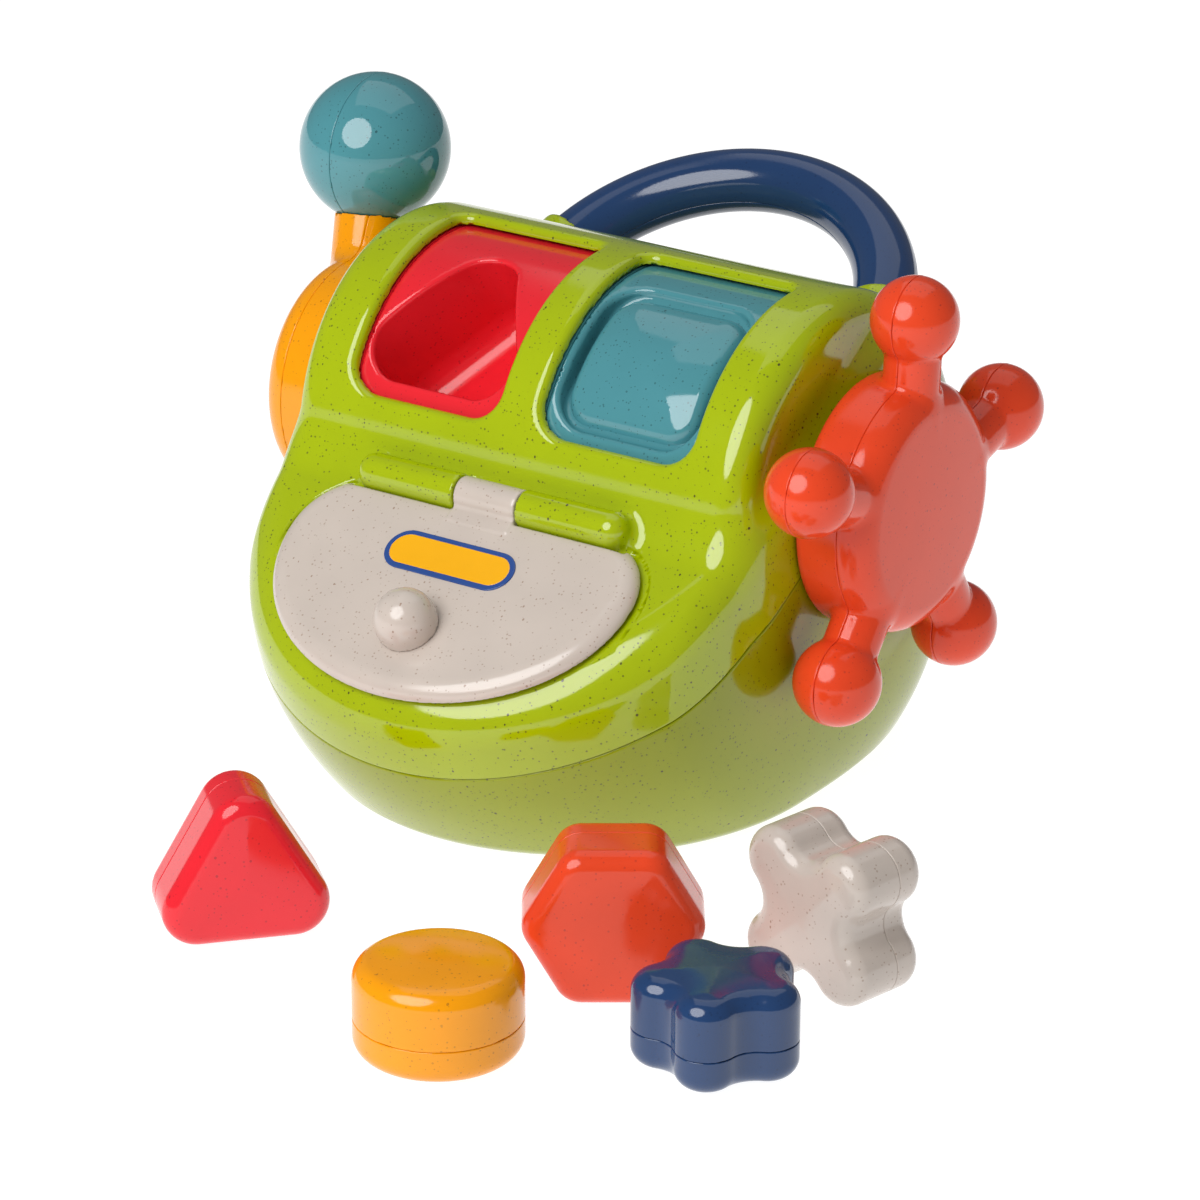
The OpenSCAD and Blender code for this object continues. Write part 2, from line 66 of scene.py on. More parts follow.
def joint_point(name):
    return next(Vector(j["pos_m"]) / MM for j in frame["joints"] if j["name"] == name)


# --- driving sizes in millimetres, taken from the frame where a node gives them
AXLE_Z = joint_point("left_drum_spin").z
WHEEL_X = low_mm("wheel_outer_half").x
BALL_OUT = -WHEEL_X - low_mm("crank_ball_inner_half").x
BALL_R = -WHEEL_X - BALL_OUT - low_mm("crank_ball_outer_half").x
DRUM_R = (high_mm("left_drum_outer_cap").z - low_mm("left_drum_outer_cap").z) / 2
DRUM_MID = (low_mm("right_drum_barrel").x + high_mm("right_drum_barrel").x) / 2
DRUM_HALF = high_mm("right_drum_barrel").x - DRUM_MID
SEAM_TILT = 30
SEAM_SLOPE = math.radians(SEAM_TILT)
SEAM_Z = 108
WALL = 3
TUB_MID_Y = -16.5
TUB_WIDEST_Z = 68.5
TUB_FOOT_HALF = 81
TUB_FOOT_FRONT = 103
TUB_SWELL_HALF = 22.5
TUB_SWELL_FRONT = 34
TUB_BACK = 127.5
TUB_FLAT_HALF = 90.6
BACK_SLOPE = math.radians(40)
BACK_REACH = 62
HOUSING_R = 63.4
HOUSING_HALF = 86.3
WINDOW_HALF = 28.5
WINDOW_FROM = 87
WINDOW_TO = 161
STATION = 130
FACE_TILT = 32.5
FACE_SLOPE = math.radians(FACE_TILT)
FACE_Y = -89.1
FACE_Z = 87.4
FACE_TOP_Z = 125
HINGE_S = 25
HINGE_OFF = 5
BARREL_R = 6
BARREL_END = 45
KNUCKLE_HALF = 12
DOOR_HALF = 64.6
DOOR_DROP = 51.2
DOOR_TOP = 22.4
DOOR_CORNER = 19
KNOB_UP = -27.5
DOOR_KNOB_R = 10
BADGE_AT = (-1.2, -0.4)
BADGE_STRAIGHT = 16.5
BADGE_R = 7.5
DISC_R = 40.5
DISC_IN = 15.7
DISC_OUT = 11
KNOB_RING = 60.2
KNOB_R = 14
NECK_R = 9
KNOBS = 5
WHEEL_TURN = 87.2
ARM = 75.3
ARM_R = 11.5
CRANK_TURN = math.radians(70.6)
CRANK_LEAN = math.atan(BALL_OUT / ARM)
HANDLE_RING = 63.7
HANDLE_R = 10.6
HANDLE_Y = 44.3
HANDLE_START = 14.5
POD_R = 13
POD_FROM = 2
POD_TO = 18.5
POCKET_FLOOR = 19
PILLOW_FLOOR = 50
PILLOW_DOME = 2.2
TRIANGLE_DROP = 4.5
BLOCK_DOME = 1.8
BLOCK_HALF = 15.5
BLOCK_SPLIT = -3.1
SEAM_R = 0.38


# --- distance formulas
def round_max(a, b, r):
    """Intersection of two distances with an edge of radius r."""
    return np.minimum(np.maximum(a, b), -r) + np.hypot(np.maximum(a + r, 0), np.maximum(b + r, 0))


def round_min(a, b, r):
    """Union of two distances with a fillet of radius r."""
    return -round_max(-a, -b, r)


def bulge(z):
    """How far the tub has swelled at a height, from 0 at its foot to 1 where it is widest."""
    return 1 - (np.maximum(TUB_WIDEST_Z - z, 0) / TUB_WIDEST_Z) ** 2


def wall_gap(x, dy, z):
    """Distance from the upright wall of the tub, which is oval in plan and wider higher up."""
    half = TUB_FOOT_HALF + TUB_SWELL_HALF * bulge(z)
    ahead = TUB_FOOT_FRONT + TUB_SWELL_FRONT * bulge(z) + TUB_MID_Y
    reach = np.where(dy < 0, ahead, TUB_BACK)
    power = np.where(dy < 0, 2.0, 2.45)
    s = ((x / half) ** power + (np.abs(dy) / reach) ** power) ** (1 / power)
    return (s - 1) * np.hypot(x, dy) / np.maximum(s, 0.05)


def body_gap(x, y, z):
    """Distance from the body's outer skin: the tub and face, blended with the drum housing."""
    x = np.abs(x)
    walls = round_max(wall_gap(x, y - TUB_MID_Y, z), x - TUB_FLAT_HALF, 10.7)
    face = (z - FACE_Z) * math.cos(FACE_SLOPE) - (y - FACE_Y) * math.sin(FACE_SLOPE)
    faced = round_max(walls, face, 12.4)
    back = y * math.sin(BACK_SLOPE) + (z - AXLE_Z) * math.cos(BACK_SLOPE) - BACK_REACH
    wedge = round_max(faced, back, 22)
    wedge = round_max(wedge, -z, 5)
    housing = round_max(x - HOUSING_HALF, np.hypot(y, z - AXLE_Z) - HOUSING_R, 9)
    return round_min(wedge, housing, 9.4)


def on_face(x, y, z):
    """Place across, up the slope and out of the front face."""
    c, s = math.cos(FACE_SLOPE), math.sin(FACE_SLOPE)
    up = (y - FACE_Y) * c + (z - FACE_Z) * s
    out = (z - FACE_Z) * c - (y - FACE_Y) * s
    return x, up, out


def window_gap(x, y, z):
    """Distance across the skin from the edge of the nearer window."""
    across = np.abs(np.abs(x) - DRUM_MID) - WINDOW_HALF
    turn = np.degrees(np.arctan2(z - AXLE_Z, y))
    along = np.radians(turn - (WINDOW_FROM + WINDOW_TO) / 2) * HOUSING_R
    r = np.where(along > 0, 11.0, 5.0)
    along = np.abs(along) - math.radians(WINDOW_TO - WINDOW_FROM) / 2 * HOUSING_R
    a = across + r
    b = along + r
    return np.minimum(np.maximum(a, b), 0) + np.hypot(np.maximum(a, 0), np.maximum(b, 0)) - r


def door_gap(x, up):
    """Distance in the face from the door's outline: half an oval below, round corners above."""
    x = np.abs(x)
    past = np.where(up < 0, x, np.maximum(x - DOOR_HALF + DOOR_CORNER, 0))
    half = np.where(up < 0, DOOR_HALF, DOOR_CORNER)
    reach = np.where(up < 0, DOOR_DROP, DOOR_TOP)
    k = (past / half) ** 2 + (up / reach) ** 2
    return (k - 1) / (2 * np.hypot(past / half**2, up / reach**2) + 1e-6)


def barrels_gap(x, y, z):
    """The two hinge barrels on the shell, each on a low web."""
    x = np.abs(x)
    _, up, out = on_face(x, y, z)
    drop = np.maximum(HINGE_OFF - out, 0) * (out < HINGE_OFF)
    radial = np.hypot(up - HINGE_S, np.where(out < HINGE_OFF, drop * 0.25, out - HINGE_OFF))
    return round_max(np.hypot(np.maximum(x - BARREL_END, 0), radial) - BARREL_R, KNUCKLE_HALF - x, 0.8)


def from_seam_frame(x, v, w):
    c, s = math.cos(SEAM_SLOPE), math.sin(SEAM_SLOPE)
    return x, v * c - w * s, SEAM_Z + v * s + w * c


HANDLE_V = HANDLE_Y / math.cos(SEAM_SLOPE)


def handle_tube(x, v, w, r):
    return np.hypot(np.hypot(x, v - HANDLE_V) - HANDLE_RING, w) - r


def handle_stop(x, v, angle):
    """Positive past the given angle of the handle's ring, towards its top."""
    a = math.radians(angle)
    return (v - HANDLE_V) * math.cos(a) - np.abs(x) * math.sin(a)


def hollow_body(x, v, w):
    """Walls of the body with its handle pods, in the frame of the parting plane."""
    x, y, z = from_seam_frame(x, v, w)
    skin = body_gap(x, y, z)
    pods = round_max(handle_tube(x, v, w, POD_R), handle_stop(x, v, POD_TO), 2.5)
    pods = round_max(pods, -handle_stop(x, v, POD_FROM), 0.5)
    outer = round_min(skin, pods, 6)
    outer = round_max(outer, -handle_tube(x, v, w, HANDLE_R + 0.5), 0.9)
    return x, y, z, skin, outer


def tub_gap(x, v, w):
    x, y, z, skin, outer = hollow_body(x, v, w)
    solid = round_max(outer, -(skin + WALL), 0.5)
    return round_max(solid, w + 0.1, 0.7)


def shell_gap(x, v, w):
    x, y, z, skin, outer = hollow_body(x, v, w)
    window = window_gap(x, y, z)
    across, up, out = on_face(x, y, z)
    door = door_gap(across, up)
    near_door = (out > -8) & (z < FACE_TOP_Z)
    seat = np.where(near_door, np.maximum(door - 2.2, -out - 0.9), 60)
    outer = round_max(outer, -seat, 1.0)
    barrel_ends = np.clip((np.abs(x) - BARREL_END + 1) / 5, 0, 1)
    outer = round_min(outer, barrels_gap(x, y, z), 1.6 + 2.6 * barrel_ends)
    low = np.clip((y * -0.94 + (z - AXLE_Z) * 0.34 - 4) / 16, 0, 1)
    outer = round_max(outer, -window, 1.2 + 1.6 * low)
    inside = 1.2 * (1 - low) * np.clip(1 - window / 5, 0, 1) - skin - WALL
    rim = np.maximum(window - 5, inside - 0.8 * low)
    solid = np.maximum(outer, np.minimum(inside, rim))
    opening = np.where(out > -12, door + 5, 60)
    opening = np.where(z < FACE_TOP_Z, opening, 60)
    solid = round_max(solid, -opening, 0.8)
    return round_max(solid, -w + 0.1, 0.7)


def handle_gap(x, v, w):
    _, y, z = from_seam_frame(x, v, w)
    ends = np.maximum(-handle_stop(x, v, HANDLE_START), DRUM_R + 1.7 - np.hypot(y, z - AXLE_Z))
    return round_max(handle_tube(x, v, w, HANDLE_R), ends, 1)


# --- outlines of the blocks, as distances in their own plane
def folded(x, y, count, turn):
    """The plane folded onto one of count equal sectors, whose middle is the x axis."""
    sector = 2 * math.pi / count
    angle = np.arctan2(y, x) - math.radians(turn)
    angle = (angle + sector / 2) % sector - sector / 2
    reach = np.hypot(x, y)
    return reach * np.cos(angle), reach * np.sin(angle)


def corner_gap(x, y, sides, reach, r, turn):
    u, v = folded(x, y, sides, turn + 180 / sides)
    side = reach * math.sin(math.pi / sides)
    flat = u - reach * math.cos(math.pi / sides)
    past = np.maximum(np.abs(v) - side, 0)
    return np.where(flat > 0, np.hypot(flat, past), flat) - r


def lobed_gap(x, y, lobes, reach, r, valley_r, turn):
    u, v = folded(x, y, lobes, turn)
    v = np.abs(v)
    half = math.pi / lobes
    deep = reach * math.cos(half) + math.sqrt((r + valley_r) ** 2 - (reach * math.sin(half)) ** 2)
    valley_u, valley_v = deep * math.cos(half), deep * math.sin(half)
    side = (valley_u - reach) * v - valley_v * (u - reach)
    lobe = np.hypot(u - reach, v) - r
    valley = valley_r - np.hypot(u - valley_u, v - valley_v)
    return np.where(side < 0, lobe, valley)


OUTLINES = {
    "triangle": lambda x, y: corner_gap(x, y, 3, 17, 11, 90),
    "hexagon": lambda x, y: corner_gap(x, y, 6, 18.5, 8.5, 0),
    "round": lambda x, y: np.hypot(x, y) - 25,
    "star": lambda x, y: lobed_gap(x, y, 5, 16, 9.45, 9, 90),
    "cross": lambda x, y: lobed_gap(x, y, 4, 19.5, 10.4, 8, 45),
    "pillow": lambda x, y: corner_gap(x, y, 4, 19.8, 9.5, 45),
}


def dome(edge, height):
    """Height of a domed face above its own edge, at a distance inside its outline."""
    return height * (1 - (1 - np.clip(-edge / 24, 0, 1)) ** 2)


def block_gap(kind):
    """A block with pillowed faces, lying in its own xy plane."""
    outline = OUTLINES[kind]

    def gap(x, y, z):
        edge = outline(x, y)
        return round_max(edge, np.abs(z) - BLOCK_HALF + BLOCK_DOME - dome(edge, BLOCK_DOME), 5)

    return gap


# --- drums, with x along the axle and y, z measured from it
def drum_gap(kinds):
    def gap(x, y, z):
        form = round_max(np.hypot(y, z) - DRUM_R, np.abs(x) - DRUM_HALF, 0.8)
        for k, kind in enumerate(kinds):
            turn = math.radians(STATION + 120 * k)
            out = y * math.cos(turn) + z * math.sin(turn)
            tangent = y * math.sin(turn) - z * math.cos(turn)
            outline = OUTLINES[kind](x, tangent + TRIANGLE_DROP if kind == "triangle" else tangent)
            if kind == "pillow":
                pocket = np.where(out > 0, round_max(outline - 2.9, PILLOW_FLOOR - out, 1.5), 60)
                form = round_max(form, -pocket, 2.4)
            else:
                pocket = np.where(out > 0, round_max(outline - 1, POCKET_FLOOR - out, 9), 60)
                form = round_max(form, -pocket, 1.8)
        return form

    return gap


def pillow_gap(x, tangent, out):
    """A domed cushion in a pocket of the drum, its own frame turned so that out points away from the axle."""
    outline = OUTLINES["pillow"](x, tangent)
    top = np.hypot(tangent, out) - DRUM_R + PILLOW_DOME - dome(outline, PILLOW_DOME)
    return np.maximum(round_max(outline - 0.8, top, 3.4), PILLOW_FLOOR - 2 - out)


# --- wheel and crank, with x along the axle from their middle plane and y, z measured from the axle
def disc_gap(x, y, z):
    """A disc with a small edge on the drum's side, at -x, and a rolled, slightly domed one on the other."""
    edge = np.hypot(y, z) - DISC_R
    face = x - DISC_OUT + 1.4 * (1 + np.clip(edge / DISC_R, -1, 0)) ** 2
    return np.where(x < 0, round_max(edge, -x - DISC_IN, 3), round_max(edge, face, DISC_OUT - 1.4))


def wheel_gap(x, y, z):
    u, v = folded(y, z, KNOBS, WHEEL_TURN)
    side = np.hypot(x, v)
    neck = np.maximum(side - NECK_R, np.maximum(u - KNOB_RING, -u))
    knob = np.hypot(side, u - KNOB_RING) - KNOB_R
    return round_min(round_min(disc_gap(x, y, z), neck, 1.8), knob, 0.9)


def ball_gap(x, y, z):
    """Distance from the crank's ball, with x outwards from the disc's middle plane."""
    middle_y, middle_z = ARM * math.cos(CRANK_TURN), ARM * math.sin(CRANK_TURN)
    return np.sqrt((x - BALL_OUT) ** 2 + (y - middle_y) ** 2 + (z - middle_z) ** 2) - BALL_R


def crank_gap(x, y, z):
    u = y * math.cos(CRANK_TURN) + z * math.sin(CRANK_TURN)
    v = y * math.sin(CRANK_TURN) - z * math.cos(CRANK_TURN)
    along = u * math.cos(CRANK_LEAN) + x * math.sin(CRANK_LEAN)
    side = np.hypot(x * math.cos(CRANK_LEAN) - u * math.sin(CRANK_LEAN), v)
    arm = np.maximum(side - ARM_R, np.maximum(along - ARM, -along))
    return np.maximum(round_min(disc_gap(x, y, z), arm, 5), 0.1 - ball_gap(x, y, z))


# --- door, in the frame of the front face
def door_panel_gap(x, up, out):
    edge = door_gap(x, up)
    slab = round_max(edge * 0.62, out - HINGE_OFF, 4.2)
    slab = round_max(slab, 0.35 - out, 0.3)
    lip = np.maximum(np.maximum(edge + 5.8, -(edge + 8)), np.maximum(out - 1, -3.7 - out))
    slab = np.minimum(slab, lip)
    hinge = np.hypot(up - HINGE_S, out - HINGE_OFF)
    room = np.maximum(hinge - 6.6, np.abs(x) - 52.5)
    slab = round_max(slab, -room, 0.6)
    plate = np.maximum(np.abs(out - HINGE_OFF + 1.1) - 1.5, np.abs(up - HINGE_S + 5.5) - 5.5)
    knuckle = round_max(round_min(hinge - 5.6, plate, 1.2), np.abs(x) - 11.6, 0.7)
    return round_min(slab, knuckle, 0.8)


def knob_gap(x, up, out):
    """A ball on a short wide foot, above the door's top face."""
    out = out - HINGE_OFF
    up = up - KNOB_UP
    side = np.hypot(x, up)
    ball = np.hypot(side, out - 4) - DOOR_KNOB_R
    foot = np.maximum(side - DOOR_KNOB_R + 0.6, out - 3)
    return np.maximum(round_min(ball, foot, 1), -out)


def badge_gap(inset, top):
    def gap(x, up, out):
        past = np.maximum(np.abs(x - BADGE_AT[0]) - BADGE_STRAIGHT, 0)
        edge = np.hypot(past, up - BADGE_AT[1]) - BADGE_R + inset
        return round_max(edge, np.abs(out - HINGE_OFF) - top, 0.25)

    return gap


# --- meshing: one vertex per grid cell that the surface crosses, moved onto the surface
def grid_line(low, high, step, fine=()):
    """Grid positions with extra ones close around each fine position."""
    line = np.arange(low - 1.5 * step, high + 1.6 * step, step)
    for middle in fine:
        line = line[np.abs(line - middle) > 1.3]
        near = np.array([-1.3, -0.8, -0.5, -0.3, -0.15, 0, 0.15, 0.3, 0.5, 0.8, 1.3])
        line = np.concatenate([line, middle + near])
    return np.sort(line)


def slopes(gap, place):
    """Value and gradient of a distance formula at each place."""
    reach = 0.04
    value = gap(*place.T)
    slope = np.empty_like(place)
    for axis in range(3):
        shift = np.zeros(3)
        shift[axis] = reach
        slope[:, axis] = (gap(*(place + shift).T) - gap(*(place - shift).T)) / (2 * reach)
    return value, slope


def surface(gap, lines):
    """Vertices, quads and normals of the surface where gap is zero, on a grid of three lines."""
    values = np.stack([
        gap(np.full((len(lines[1]), len(lines[2])), x), *np.meshgrid(lines[1], lines[2], indexing="ij"))
        for x in lines[0]
    ])
    inside = values < 0
    cells = tuple(n - 1 for n in inside.shape)
    filled = np.zeros(cells, np.int8)
    for i in (0, 1):
        for j in (0, 1):
            for k in (0, 1):
                filled += inside[i : i + cells[0], j : j + cells[1], k : k + cells[2]]
    active = np.argwhere((filled > 0) & (filled < 8))
    index = np.full(cells, -1)
    index[tuple(active.T)] = np.arange(len(active))
    place = np.zeros((len(active), 3))
    hits = np.zeros(len(active))
    for axis in range(3):
        others = [a for a in range(3) if a != axis]
        for i in (0, 1):
            for j in (0, 1):
                start = active.copy()
                start[:, others[0]] += i
                start[:, others[1]] += j
                end = start.copy()
                end[:, axis] += 1
                a, b = values[tuple(start.T)], values[tuple(end.T)]
                crossed = (a < 0) != (b < 0)
                share = a[crossed] / (a[crossed] - b[crossed])
                from_place = np.stack([lines[d][start[crossed, d]] for d in range(3)], 1)
                to_place = np.stack([lines[d][end[crossed, d]] for d in range(3)], 1)
                place[crossed] += from_place + (to_place - from_place) * share[:, None]
                hits[crossed] += 1
    place /= hits[:, None]
    for _ in range(4):
        value, slope = slopes(gap, place)
        move = slope * (value / np.maximum((slope**2).sum(1), 0.05))[:, None]
        place -= np.clip(move, -1, 1)
    _, normal = slopes(gap, place)
    quads = []
    for axis in range(3):
        one, two = (axis + 1) % 3, (axis + 2) % 3
        edge = [slice(None)] * 3
        ahead = [slice(None)] * 3
        edge[axis], ahead[axis] = slice(None, -1), slice(1, None)
        crossed = inside[tuple(edge)] != inside[tuple(ahead)]
        at = np.argwhere(crossed)
        at = at[(at[:, one] > 0) & (at[:, two] > 0)]
        at = at[(at[:, one] < cells[one]) & (at[:, two] < cells[two])]
        ring = []
        for i, j in ((1, 1), (0, 1), (0, 0), (1, 0)):
            cell = at.copy()
            cell[:, one] -= i
            cell[:, two] -= j
            ring.append(index[tuple(cell.T)])
        ring = np.stack(ring, 1)
        starts_inside = inside[tuple(at.T)]
        ring[~starts_inside] = ring[~starts_inside][:, ::-1]
        quads.append(ring)
    return place, np.concatenate(quads), normal


def mould(name, gap, lines, to_row, material, body, nodes, slot):
    """Makes one moulded piece. to_row takes millimetres of the formula's own frame to the row frame."""
    place, quads, normal = surface(gap, lines)
    turn = np.array(to_row.to_3x3())
    place = place @ turn.T + np.array(to_row.translation)
    normal = normal @ turn.T
    normal /= np.maximum(np.linalg.norm(normal, axis=1), 1e-9)[:, None]
    mesh = bpy.data.meshes.new(name)
    mesh.from_pydata((place * MM).tolist(), [], quads.tolist())
    mesh.update()
    mesh.polygons.foreach_set("use_smooth", np.ones(len(mesh.polygons), bool))
    mesh.normals_split_custom_set_from_vertices(normal.tolist())
    mesh.materials.append(material)
    piece = bpy.data.objects.new(name, mesh)
    bpy.context.scene.collection.objects.link(piece)
    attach(piece, body)
    if nodes:
        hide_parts(*nodes)
    return piece


# --- materials
def plastic(name, colour, speck, amount, rough, ior=1.62):
    """Glossy moulded plastic with fine specks, some larger flecks and a faint clouding of its colour."""
    material = bpy.data.materials.new(name)
    material.use_nodes = True
    nodes, links = material.node_tree.nodes, material.node_tree.links
    shader = nodes["Principled BSDF"]
    place = nodes.new("ShaderNodeTexCoord").outputs["Object"]

    def maths(operation, a, b):
        node = nodes.new("ShaderNodeMath")
        node.operation = operation
        for socket, value in zip(node.inputs, (a, b)):
            if isinstance(value, (int, float)):
                socket.default_value = value
            else:
                links.new(value, socket)
        return node.outputs[0]

    def specks(cells_per_m, share, size, stretch):
        """1 inside a speck: one cell in share holds one, of a random size up to size cells."""
        mapping = nodes.new("ShaderNodeMapping")
        mapping.inputs["Scale"].default_value = stretch
        links.new(place, mapping.inputs["Vector"])
        cells = nodes.new("ShaderNodeTexVoronoi")
        cells.inputs["Scale"].default_value = cells_per_m
        links.new(mapping.outputs[0], cells.inputs["Vector"])
        parts = nodes.new("ShaderNodeSeparateColor")
        links.new(cells.outputs["Color"], parts.inputs[0])
        chosen = maths("LESS_THAN", parts.outputs[0], share)
        reach = maths("MULTIPLY", parts.outputs[1], size)
        soft = maths("SUBTRACT", reach, cells.outputs["Distance"])
        soft = clamped(maths("MULTIPLY", soft, 40))
        return maths("MULTIPLY", soft, chosen)

    def clamped(value):
        clamp = nodes.new("ShaderNodeClamp")
        links.new(value, clamp.inputs[0])
        return clamp.outputs[0]

    def mix(factor, a, b):
        node = nodes.new("ShaderNodeMix")
        node.data_type = "RGBA"
        links.new(factor, node.inputs["Factor"])
        for socket, value in ((node.inputs["A"], a), (node.inputs["B"], b)):
            if isinstance(value, tuple):
                socket.default_value = value
            else:
                links.new(value, socket)
        return node.outputs["Result"]

    cloud = nodes.new("ShaderNodeTexNoise")
    cloud.inputs["Scale"].default_value = 60
    cloud.inputs["Detail"].default_value = 3
    links.new(place, cloud.inputs["Vector"])
    paler = tuple(min(1, c * 1.06) for c in colour) + (1,)
    deeper = tuple(c * 0.94 for c in colour) + (1,)
    base = mix(cloud.outputs["Fac"], deeper, paler)
    dots = maths("MULTIPLY", specks(760, 0.8, 0.3, (1, 1, 1)), amount * 0.95)
    base = mix(dots, base, tuple(speck) + (1,))
    flecks = maths("MULTIPLY", specks(290, 0.35, 0.17, (1.4, 0.9, 1.1)), amount * 1.4)
    base = mix(clamped(flecks), base, tuple(speck) + (1,))
    links.new(base, shader.inputs["Base Color"])
    grain = nodes.new("ShaderNodeTexNoise")
    grain.inputs["Scale"].default_value = 900
    links.new(place, grain.inputs["Vector"])
    bump = nodes.new("ShaderNodeBump")
    bump.inputs["Strength"].default_value = 0.05
    bump.inputs["Distance"].default_value = 0.0002
    links.new(grain.outputs["Fac"], bump.inputs["Height"])
    links.new(bump.outputs[0], shader.inputs["Normal"])
    shine = maths("MULTIPLY_ADD", cloud.outputs["Fac"], 0.06)
    shine.node.inputs[2].default_value = rough - 0.03
    links.new(shine, shader.inputs["Roughness"])
    shader.inputs["IOR"].default_value = ior
    return material


def satin_steel():
    """Steel with faint streaks in its gloss, for pins, rod and screws."""
    material = bpy.data.materials.new("satin_steel")
    material.use_nodes = True
    nodes, links = material.node_tree.nodes, material.node_tree.links
    shader = nodes["Principled BSDF"]
    shader.inputs["Metallic"].default_value = 1
    shader.inputs["Base Color"].default_value = (0.62, 0.63, 0.65, 1)
    streaks = nodes.new("ShaderNodeTexNoise")
    streaks.inputs["Scale"].default_value = 500
    place = nodes.new("ShaderNodeTexCoord")
    links.new(place.outputs["Object"], streaks.inputs["Vector"])
    span = nodes.new("ShaderNodeMapRange")
    span.inputs["To Min"].default_value = 0.28
    span.inputs["To Max"].default_value = 0.42
    links.new(streaks.outputs["Fac"], span.inputs["Value"])
    links.new(span.outputs[0], shader.inputs["Roughness"])
    return material


GREEN = plastic("green_plastic", (0.37, 0.47, 0), (0.07, 0.07, 0.01), 0.75, 0.08)
# Painted shade: the tub is the same green plastic as the shell, made darker here to stand in for the shade on
# the body's lower part, and a little less glossy.
SHADED_TUB_GREEN = plastic("tub_green_painted_shade", (0.29, 0.345, 0), (0.06, 0.06, 0.01), 0.75, 0.1, 1.5)
RED = plastic("red_plastic", (0.8, 0.018, 0.03), (0.25, 0.01, 0.02), 0.4, 0.13, 1.5)
TEAL = plastic("teal_plastic", (0.07, 0.27, 0.31), (0.02, 0.06, 0.07), 0.5, 0.06)
YELLOW = plastic("yellow_plastic", (0.9, 0.33, 0), (0.25, 0.08, 0.01), 0.4, 0.14, 1.5)
ORANGE = plastic("orange_plastic", (0.8, 0.062, 0.016), (0.35, 0.03, 0.02), 0.4, 0.14, 1.47)
NAVY = plastic("navy_plastic", (0.012, 0.045, 0.14), (0.006, 0.02, 0.06), 0.3, 0.11, 1.6)
BEIGE = plastic("beige_plastic", (0.6, 0.52, 0.46), (0.25, 0.13, 0.07), 0.45, 0.17, 1.6)
BADGE_BLUE = plastic("badge_blue", (0.02, 0.07, 0.28), (0.01, 0.04, 0.2), 0.05, 0.25)
BADGE_YELLOW = plastic("badge_yellow", (0.95, 0.45, 0.0), (0.8, 0.35, 0.0), 0.05, 0.25)
STEEL = satin_steel()


# --- pieces
def turned(axis, degrees):
    return Matrix.Rotation(math.radians(degrees), 4, axis)


def moved(x, y, z):
    """A shift in millimetres, before mould turns them into metres."""
    return Matrix.Translation((x, y, z))


def make_body():
    seam = moved(0, 0, SEAM_Z) @ turned("X", SEAM_TILT)
    fine = (0,)
    across = grid_line(-92, 92, STEP)
    tub = (across, grid_line(-150, 130, STEP), grid_line(-135, 0.5, STEP, fine))
    mould("tub_look", tub_gap, tub, seam, SHADED_TUB_GREEN, "body", ["base_tub"], "green_shell")
    shell = (across, grid_line(-150, 75, STEP), grid_line(-0.5, 92, STEP, fine))
    mould("shell_look", shell_gap, shell, seam, GREEN, "body", ["upper_shell"], "green_shell")
    ring = HANDLE_RING + HANDLE_R
    for name, side in (("handle_upper", 1), ("handle_lower", -1)):
        lines = (
            grid_line(-ring, ring, STEP),
            grid_line(HANDLE_V + 10, HANDLE_V + ring, STEP),
            grid_line(min(0, side * HANDLE_R), max(0, side * HANDLE_R), STEP, fine),
        )
        mould(
            name + "_look",
            lambda x, v, w: round_max(handle_gap(x, v, w), 0.03 - side * w, SEAM_R),
            lines, seam, NAVY, "body", [name + "_half"], "navy_handle",
        )


def make_drum(side, body, kinds, material, slot):
    x_sign = -1 if side == "left" else 1
    place = moved(x_sign * DRUM_MID, 0, AXLE_Z)
    lines = (
        grid_line(-DRUM_HALF, DRUM_HALF, STEP),
        grid_line(-DRUM_R, DRUM_R, STEP),
        grid_line(-DRUM_R, DRUM_R, STEP),
    )
    mould(side + "_drum_look", drum_gap(kinds), lines, place, material, body, [side + "_drum_barrel"], slot)
    for k in (k for k, kind in enumerate(kinds) if kind == "pillow"):
        facing = place @ turned("X", STATION + 120 * k - 90)
        sideways = grid_line(-26, 26, 0.75 * STEP)
        lines = (sideways, sideways, grid_line(PILLOW_FLOOR - 2, DRUM_R, 0.75 * STEP))
        mould(f"{side}_pillow_{k}_look", pillow_gap, lines, facing, material, body, [], slot)
    for cap in ("inner", "outer"):
        frame["nodes"][f"{side}_drum_{cap}_cap"].data.materials[0] = material


def split_line(side, low, high, split=0):
    """Grid positions for one half: above the split for side 1, below it for side -1."""
    ends = (split, high) if side > 0 else (low, split)
    return grid_line(*ends, STEP, (split,))


